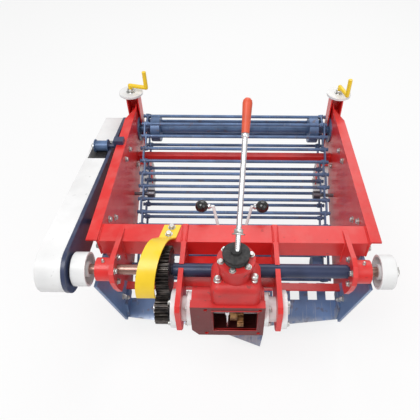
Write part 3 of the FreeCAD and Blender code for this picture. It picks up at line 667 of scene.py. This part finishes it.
# Turned shapes, as (radius, height)
PLUG_PROFILE = (
    (0.009, 0.118), (0.009, 0.122), (0.0075, 0.1225), (0.0075, 0.129), (0.006, 0.131))
BREATHER_PROFILE = (
    (0.007, 0.0), (0.007, 0.006), (0.0045, 0.007), (0.0045, 0.013), (0.008, 0.014),
    (0.008, 0.021), (0.005, 0.0235))


class GearboxFittings(Operator):
    """Add the gearbox's cap bolts, its side flange and output disc nuts, oil plug and breather"""

    bl_idname = "harvester.gearbox_fittings"
    bl_label = "Gearbox fittings"

    def execute(self, context):
        size = context.scene.harvester_sizes.bolt_radius
        cap = ring_places((*TOWER, CAP_TOP), CAP_RING, 6, "Z", 0.3)
        bolts("cap_bolts", cap, size * 0.8, 0.0045)
        for name, share, height, radius, start, faces in OUTPUT_NUTS:
            places = []
            for face, way in faces:
                places += ring_places((face, *OUTPUT), radius, 4, way, start)
            bolts(name, places, size * share, height)
        plug = moved(turned(PLUG_PROFILE, 24), -0.034, 0.032, 0)
        finished(rounded(plug, SMALL_EDGE), "oil_plug", bright_zinc)
        breather = moved(turned(BREATHER_PROFILE, 24), 0.047, 0.030, 0.119)
        finished(rounded(breather, SMALL_EDGE), "breather", bright_zinc)
        return {"FINISHED"}


RIM_X = (-0.0490, -0.0450, 0.0570, 0.0610)  # outer and inner edges, left to right
RIM_Z = (-0.0400, -0.0360, 0.0430, 0.0470)  # outer and inner edges, bottom to top
RIM_FRONT = -0.0016
RIM_BACK = 0.004
SHIFT_ROD = (-0.0125, 0.010)  # as (x, y)
SHIFT_COLLAR_Z = 0.028
SHIFT_ROD_PROFILE = ((0.0028, -0.036), (0.0028, 0.043))
SHIFT_COLLAR_PROFILE = ((0.006, -0.006), (0.007, -0.005), (0.007, 0.005), (0.006, 0.006))


class HitchWindow(Operator):
    """Add the raised rim of the hitch window and the shift rod in it"""

    bl_idname = "harvester.hitch_window"
    bl_label = "Hitch window"

    def execute(self, context):
        (left, inner_left, inner_right, right), (bottom, sill, head, top) = RIM_X, RIM_Z
        bars = (
            (left, head, right, top),
            (left, bottom, right, sill),
            (left, sill, inner_left, head),
            (inner_right, sill, right, head))
        rim = joined([
            block((x0, RIM_FRONT, z0), (x1, RIM_BACK, z1), 0.0008) for x0, z0, x1, z1 in bars])
        finished(rim, "window_rim", gearbox_red)
        rod = moved(turned(SHIFT_ROD_PROFILE, 16), *SHIFT_ROD, 0)
        collar = moved(turned(SHIFT_COLLAR_PROFILE, 20), *SHIFT_ROD, SHIFT_COLLAR_Z)
        finished(rounded(joined([rod, collar]), FINE_EDGE), "shift_rod", lever_steel)
        return {"FINISHED"}


HOUSING_FACE = 0.284
HOUSING_RING = 0.0295
NIPPLE_X = 0.314
NIPPLE_RISE = 0.0288
NIPPLE_PROFILE = (
    (0.004, 0), (0.004, 0.003), (0.0025, 0.004), (0.0025, 0.007), (0.0034, 0.008), (0.0022, 0.010))
GUARD_SHEET = 0.003
GUARD_BOLTS = ((-0.166, 0.214), (-0.161, 0.238))  # as (x, y)
KNOB_BRACKET = (0.259, 0.032)  # as (y, z)
KNOB_BRACKET_BOLTS_X = (-0.012, 0.012)


class BracketFittings(Operator):
    """Add the shaft housings' bolts and grease nipples, and the guard's and knob bracket's bolts"""

    bl_idname = "harvester.bracket_fittings"
    bl_label = "Bracket fittings"

    def execute(self, context):
        size = context.scene.harvester_sizes.bolt_radius
        housing = []
        for side, way in zip(SIDES, ("X", "-X")):
            housing += ring_places((side * HOUSING_FACE, *SHAFT), HOUSING_RING, 4, way, 0.8)
        bolts("housing_bolts", housing, size * 0.85, 0.005)
        nipple = turned(NIPPLE_PROFILE, 16)
        tops = [((side * NIPPLE_X, SHAFT[0], SHAFT[1] + NIPPLE_RISE), UP) for side in SIDES]
        finished(rounded(copies(nipple, tops), 0.0002, 1), "grease_nipples", bright_zinc)
        guard = [((x, y, BEAM_TOP + GUARD_SHEET), UP) for x, y in GUARD_BOLTS]
        bolts("guard_bolts", guard, size, 0.006)
        knobs = [((x, *KNOB_BRACKET), BACK) for x in KNOB_BRACKET_BOLTS_X]
        bolts("knob_bracket_bolts", knobs, size * 0.9, 0.0055)
        return {"FINISHED"}


# Bolts on one side of the frame, as (y, z)
INNER_WALL_BOLTS = (
    (0.300, 0.030), (0.345, -0.010), (0.560, 0.035), (0.620, 0.030), (0.675, -0.080))
OUTER_WALL_BOLTS = ((0.205, 0.028), (0.238, 0.028), (0.700, -0.052), (0.728, -0.052))
SHOVEL_ARM_BOLTS = ((0.150, -0.020), (0.180, -0.045), (0.222, -0.232), (0.243, -0.270))
ARM_FACE = 0.338

SHARE_BOLTS = ((0.012, 0.205), (0.066, 0.205))  # as (x, y)
SHARE_THICKNESS = 0.006
BLADE_POINT = (0.213, -0.335)  # a point of the blade's top, as (y, z)

POST_BACK = (0.357, 0.852)  # as (x, y)
POST_BOLTS_Z = (0.085, 0.020, -0.072)


class FrameFasteners(Operator):
    """Add the bolts that hold plates, posts, shovel arms and the share point"""

    bl_idname = "harvester.frame_fasteners"
    bl_label = "Frame fasteners"

    def execute(self, context):
        size = context.scene.harvester_sizes.bolt_radius
        walls, arms, posts = [], [], []
        for side in SIDES:
            walls += wall_places(side * INNER_WALL, INNER_WALL_BOLTS, -side)
            walls += wall_places(side * OUTER_WALL, OUTER_WALL_BOLTS, side)
            arms += wall_places(side * ARM_FACE, SHOVEL_ARM_BOLTS, -side)
            posts += [((side * POST_BACK[0], POST_BACK[1], z), BACK) for z in POST_BOLTS_Z]
        bolts("wall_bolts", walls, size, 0.0055)
        bolts("shovel_arm_bolts", arms, size * 1.05, 0.0065, 0.003)
        tilt = Vector((0, -math.sin(SHOVEL_TILT), math.cos(SHOVEL_TILT)))
        share = []
        for x, y in SHARE_BOLTS:
            z = BLADE_POINT[1] + (y - BLADE_POINT[0]) * math.tan(SHOVEL_TILT)
            share.append((Vector((x, y, z)) + tilt * SHARE_THICKNESS, tilt))
        bolts("share_bolts", share, size * 1.1, 0.005, maker=dark_steel)
        bolts("post_bolts", posts, size * 0.9, 0.005)
        return {"FINISHED"}


# Weld seams, each along one x, from (y, z) to (y, z)
WALL_SEAM_X = 0.3455
WALL_SEAMS = (
    ((0.191, 0.015), (0.191, 0.061)),
    ((0.193, 0.0630), (0.249, 0.0630)),
    ((0.2515, 0.015), (0.2515, 0.061)),
)
FLANGE_SEAM_X = 0.3515
FLANGE_SEAM = ((0.200, 0.0645), (0.730, 0.0645))
BRACKET_SEAMS_X = (0.284, 0.296)
BRACKET_SEAM = ((0.1905, -0.008), (0.1905, 0.060))
ARM_SEAMS_X = (-0.132, -0.120, 0.102, 0.114)
ARM_SEAMS = (
    ((0.1905, -0.004), (0.1905, 0.060)),
    ((0.195, 0.0632), (0.249, 0.0632)),
)


class Welds(Operator):
    """Lay the weld beads of the frame"""

    bl_idname = "harvester.welds"
    bl_label = "Welds"

    def execute(self, context):
        seams = []
        for side in SIDES:
            seams += [(side * WALL_SEAM_X, seam) for seam in WALL_SEAMS]
            seams.append((side * FLANGE_SEAM_X, FLANGE_SEAM))
            seams += [(side * x, BRACKET_SEAM) for x in BRACKET_SEAMS_X]
        seams += [(x, seam) for x in ARM_SEAMS_X for seam in ARM_SEAMS]
        runs = [((x, *start), (x, *end)) for x, (start, end) in seams]
        beads = weld_bead(runs, context.scene.harvester_sizes.weld_radius)
        finished(beads, "weld_beads", frame_red)
        return {"FINISHED"}


LEVER_FOOT = (0.0085, 0.056, 0.189)
LEVER_TILT = math.radians(40)
LEVER_LEAN = 0.061
LOCK_NUT_UP = 0.036
BOOT_FOLDS = (  # as (radius, height over the cap)
    (0.026, 0), (0.0285, 0.002), (0.0285, 0.004), (0.0245, 0.0065), (0.0265, 0.0085),
    (0.0235, 0.0110), (0.0245, 0.0125))
FERRULE_PROFILE = ((0.0068, 0.246), (0.0085, 0.2475), (0.0085, 0.2545), (0.0080, 0.2560))


class LeverFittings(Operator):
    """Add the boot's folds, the lever's lock nut and the grip's ferrule"""

    bl_idname = "harvester.lever_fittings"
    bl_label = "Lever fittings"

    def execute(self, context):
        folds = turned([(radius, CAP_TOP + rise) for radius, rise in BOOT_FOLDS], 48)
        finished(rounded(moved(folds, *TOWER, 0), SMALL_EDGE), "boot_folds", rubber_black)
        way = Vector((LEVER_LEAN, math.cos(LEVER_TILT), math.sin(LEVER_TILT))).normalized()
        foot = Vector(LEVER_FOOT)
        bolts("lever_lock_nut", [(foot + way * LOCK_NUT_UP, way)], 0.011, 0.009)
        ferrule = copies(turned(FERRULE_PROFILE, 28), [(foot, way)])
        finished(rounded(ferrule, FINE_EDGE, 1), "grip_ferrule", lever_steel)
        return {"FINISHED"}


KNOB_COLLARS = (((-0.0690, 0.291, 0.092), (1, 0, 0)), ((0.0600, 0.291, 0.092), (-1, 0, 0)))
KNOB_COLLAR_PROFILE = (
    (0.0062, 0), (0.0075, 0.0012), (0.0075, 0.0055), (0.0055, 0.008), (0.0048, 0.010))


class KnobFittings(Operator):
    """Add the collars between the knob rods and their balls"""

    bl_idname = "harvester.knob_fittings"
    bl_label = "Knob fittings"

    def execute(self, context):
        collars = copies(turned(KNOB_COLLAR_PROFILE, 24), KNOB_COLLARS)
        finished(rounded(collars, FINE_EDGE, 1), "knob_collars", lever_steel)
        return {"FINISHED"}


DISC_TOP = 0.119
DISC_RIM_PROFILE = ((0.0395, 0.1182), (0.0408, 0.1186), (0.0408, 0.1198), (0.0390, 0.1204))


class CrankFittings(Operator):
    """Add the screw nuts and the raised rims of the discs under the hand cranks"""

    bl_idname = "harvester.crank_fittings"
    bl_label = "Crank fittings"

    def execute(self, context):
        nuts = [((side * LEG_X, LEG_Y, DISC_TOP), UP) for side in SIDES]
        bolts("screw_nuts", nuts, 0.0125, 0.009)
        moves = [Matrix.Translation((side * LEG_X, LEG_Y, 0)) for side in SIDES]
        finished(placed(turned(DISC_RIM_PROFILE, 48), moves), "disc_rims", cover_white)
        return {"FINISHED"}


DRUM_FACE = 0.388
DRUM_RING = 0.029
GEAR_FACE = -0.191
GEAR_RING = 0.020


class DrumFittings(Operator):
    """Add the right drum's shaft nut and bolts and the gear hub's bolts"""

    bl_idname = "harvester.drum_fittings"
    bl_label = "Drum fittings"

    def execute(self, context):
        end = [((DRUM_FACE, *SHAFT), (1, 0, 0))]
        bolts("drum_nut", end, 0.016, 0.009, 0.003, body="cross_shaft_body")
        drum = ring_places((DRUM_FACE, *SHAFT), DRUM_RING, 4, "X", 0.4)
        bolts("drum_bolts", drum, 0.006, 0.004, body="cross_shaft_body")
        gear = ring_places((GEAR_FACE, *SHAFT), GEAR_RING, 3, "-X", 0.2)
        bolts("gear_hub_bolts", gear, 0.004, 0.003, maker=dark_steel, body="cross_shaft_body")
        return {"FINISHED"}


COVER_FACE = -0.466
COVER_SCREWS = ((0.117, 0.043), (0.300, 0.020), (0.500, 0.002), (0.798, -0.012))  # as (y, z)
ROLLER_NUT = (-0.448, 0.601, 0.0558)
WINDOW_LIP_X = (-0.4600, -0.4040)
WINDOW_LIPS = (  # lower and upper corners, as (y, z)
    ((0.5385, 0.0400), (0.5415, 0.0490)),
    ((0.6495, 0.0270), (0.6525, 0.0370)),
)


class CoverFittings(Operator):
    """Add the belt cover's screws, its window's lips and the tension roller's nut"""

    bl_idname = "harvester.cover_fittings"
    bl_label = "Cover fittings"

    def execute(self, context):
        bolts("cover_screws", wall_places(COVER_FACE, COVER_SCREWS, -1), 0.007, 0.004)
        bolts("roller_nut", [(ROLLER_NUT, (-1, 0, 0))], 0.010, 0.006, 0.003)
        lips = [
            block((WINDOW_LIP_X[0], *low), (WINDOW_LIP_X[1], *high), 0.0006)
            for low, high in WINDOW_LIPS]
        finished(joined(lips), "window_lips", cover_white)
        return {"FINISHED"}


ROD_PITCH = 0.0455
ROD_STEPS = 11  # pitches along each straight run
CONVEYOR_SLOPE = math.radians(34.1)
ROD_HEAD_X = 0.3255
ROD_COLLAR_X = 0.3085
ROD_HEAD_PROFILE = ((0.0066, 0), (0.0072, 0.0008), (0.0072, 0.0022), (0.0058, 0.0038))
ROD_COLLAR_PROFILE = ((0.0080, 0), (0.0080, 0.0035), (0.0066, 0.0060))


def conveyor_rods():
    """Places of the rods, as (y, z), round both ends of the loop."""
    pitch, slope, count = ROD_PITCH, CONVEYOR_SLOPE, ROD_STEPS
    side = pitch * math.cos(math.pi / 6)
    runs = [(i * pitch, pitch) for i in range(count + 1)]
    runs += [(count * pitch + side, pitch / 2), (count * pitch + side, -pitch / 2)]
    runs += [(i * pitch, -pitch) for i in range(count + 1)]
    runs += [(-side, pitch / 2), (-side, -pitch / 2)]
    return [
        (AXLE[0] - along * math.cos(slope) - out * math.sin(slope),
         AXLE[1] - along * math.sin(slope) + out * math.cos(slope))
        for along, out in runs]


class ConveyorFittings(Operator):
    """Add the forged heads and link collars at the ends of the conveyor's rods"""

    bl_idname = "harvester.conveyor_fittings"
    bl_label = "Conveyor fittings"

    def execute(self, context):
        heads, collars = [], []
        for rod in conveyor_rods():
            for side in SIDES:
                heads += wall_places(side * ROD_HEAD_X, [rod], side)
                collars += wall_places(side * ROD_COLLAR_X, [rod], -side)
        finished(copies(turned(ROD_HEAD_PROFILE, 14), heads), "rod_heads", rod_blue)
        finished(copies(turned(ROD_COLLAR_PROFILE, 14), collars), "rod_collars", rod_blue)
        return {"FINISHED"}


AXLE_NUT_OUT = 0.028
WHEEL_DISC_OUT = 0.004
WHEEL_RING = 0.048


class WheelFittings(Operator):
    """Add the axle nuts and the disc bolts of the rear wheels"""

    bl_idname = "harvester.wheel_fittings"
    bl_label = "Wheel fittings"

    def execute(self, context):
        for side, word, facing in ((-1, "left", "-X"), (1, "right", "X")):
            nuts = [
                ((side * LEG_X + way * AXLE_NUT_OUT, LEG_Y, WHEEL_Z), (way, 0, 0))
                for way in SIDES]
            bolts("axle_nuts_" + word, nuts, 0.012, 0.007, body="leg_%s_body" % word)
            disc = (side * LEG_X + side * WHEEL_DISC_OUT, LEG_Y, WHEEL_Z)
            bolts("wheel_bolts_" + word, ring_places(disc, WHEEL_RING, 5, facing), 0.005, 0.004,
                  body="wheel_%s_body" % word)
        return {"FINISHED"}


IMAGE_SIDE = 420
FOCAL_PIXELS = 435.0
SENSOR = 36.0
CAMERA_PLACE = (0, -0.533, 0.903)
CAMERA_TURN = (math.radians(45), 0, math.radians(0.73))
CAMERA_SHIFT = -0.0469
FLOOR_SIDE = 30
FLOOR_GAP = 0.0005
LAMP_AIM = (0, 0.4, -0.05)
LAMPS = (  # name, place, power and side
    ("key", (-0.9, -0.7, 2.6), 46, 1.5),
    ("fill", (1.9, -1.4, 1.9), 20, 2.2),
    ("back", (0.3, 2.6, 2.2), 30, 2.0),
)


class Studio(Operator):
    """Set the floor, the soft lights and the camera at the photograph's angle"""

    bl_idname = "harvester.studio"
    bl_label = "Studio"

    def execute(self, context):
        scene = context.scene
        deselect()
        floor_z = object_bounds()[0].z - FLOOR_GAP
        bpy.ops.mesh.primitive_plane_add(size=FLOOR_SIDE, location=(0, 0, floor_z))
        floor = bpy.context.object
        floor.name = "floor"
        floor.data.materials.append(self.floor_material())
        floor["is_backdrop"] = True
        self.lamps(scene)
        self.surround(scene)
        self.camera(scene)
        return {"FINISHED"}

    def floor_material(self):
        """Pale floor that looks near white and still takes the harvester's shadow."""
        finish = Finish("pale_floor")
        finish.set(Base_Color=(0.86, 0.86, 0.86, 1), Roughness=0.8)
        glow = finish.node("ShaderNodeEmission", None, {"Color": (1, 1, 1, 1), "Strength": 1.0})
        rays = finish.node("ShaderNodeLightPath", output="Is Camera Ray") * 0.8
        surface = Value(finish, finish.shader.outputs[0])
        mixed = finish.node("ShaderNodeMixShader", None, {0: rays, 1: surface, 2: glow})
        finish.tree.links.new(mixed.socket, finish.tree.nodes["Material Output"].inputs["Surface"])
        return finish.material

    def lamps(self, scene):
        for name, place, power, size in LAMPS:
            data = bpy.data.lights.new(name, "AREA")
            data.energy = power
            data.size = size
            lamp = bpy.data.objects.new(name, data)
            scene.collection.objects.link(lamp)
            lamp.location = place
            aim = Vector(LAMP_AIM) - Vector(place)
            lamp.rotation_euler = aim.to_track_quat("-Z", "Y").to_euler()

    def surround(self, scene):
        world = bpy.data.worlds.new("studio")
        world.use_nodes = True
        scene.world = world
        background = world.node_tree.nodes["Background"]
        background.inputs["Color"].default_value = (1, 1, 1, 1)
        background.inputs["Strength"].default_value = 0.5

    def camera(self, scene):
        data = bpy.data.cameras.new("camera")
        data.sensor_width = SENSOR
        data.lens = FOCAL_PIXELS / IMAGE_SIDE * data.sensor_width
        data.shift_x = CAMERA_SHIFT
        data.clip_start = 0.01
        camera = bpy.data.objects.new("camera", data)
        scene.collection.objects.link(camera)
        camera.location = CAMERA_PLACE
        camera.rotation_euler = CAMERA_TURN
        scene.camera = camera
        scene.view_settings.view_transform = "Standard"


PIECES = (
    PaintNodes, GearboxFittings, HitchWindow, BracketFittings, FrameFasteners, Welds,
    LeverFittings, KnobFittings, CrankFittings, DrumFittings, CoverFittings, ConveyorFittings,
    WheelFittings, Studio)


class HarvesterPanel(Panel):
    """Lists the colours, the sizes and the pieces"""

    bl_idname = "VIEW3D_PT_harvester"
    bl_label = "Potato Harvester"
    bl_space_type = "VIEW_3D"
    bl_region_type = "UI"
    bl_category = "Harvester"

    def draw(self, context):
        for group in (context.scene.harvester_colours, context.scene.harvester_sizes):
            for name in group.__annotations__:
                self.layout.prop(group, name)
        for piece in PIECES:
            self.layout.operator(piece.bl_idname)


CLASSES = (HarvesterColours, HarvesterSizes) + PIECES + (HarvesterPanel,)


def register():
    for item in CLASSES:
        bpy.utils.register_class(item)
    bpy.types.Scene.harvester_colours = PointerProperty(type=HarvesterColours)
    bpy.types.Scene.harvester_sizes = PointerProperty(type=HarvesterSizes)


def unregister():
    del bpy.types.Scene.harvester_sizes
    del bpy.types.Scene.harvester_colours
    for item in reversed(CLASSES):
        bpy.utils.unregister_class(item)


def main():
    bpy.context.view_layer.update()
    register()
    bpy.ops.harvester.paint_nodes()
    bpy.ops.harvester.gearbox_fittings()
    bpy.ops.harvester.hitch_window()
    bpy.ops.harvester.bracket_fittings()
    bpy.ops.harvester.frame_fasteners()
    bpy.ops.harvester.welds()
    bpy.ops.harvester.lever_fittings()
    bpy.ops.harvester.knob_fittings()
    bpy.ops.harvester.crank_fittings()
    bpy.ops.harvester.drum_fittings()
    bpy.ops.harvester.cover_fittings()
    bpy.ops.harvester.conveyor_fittings()
    bpy.ops.harvester.wheel_fittings()
    bpy.ops.harvester.studio()


if __name__ == "__main__":
    main()
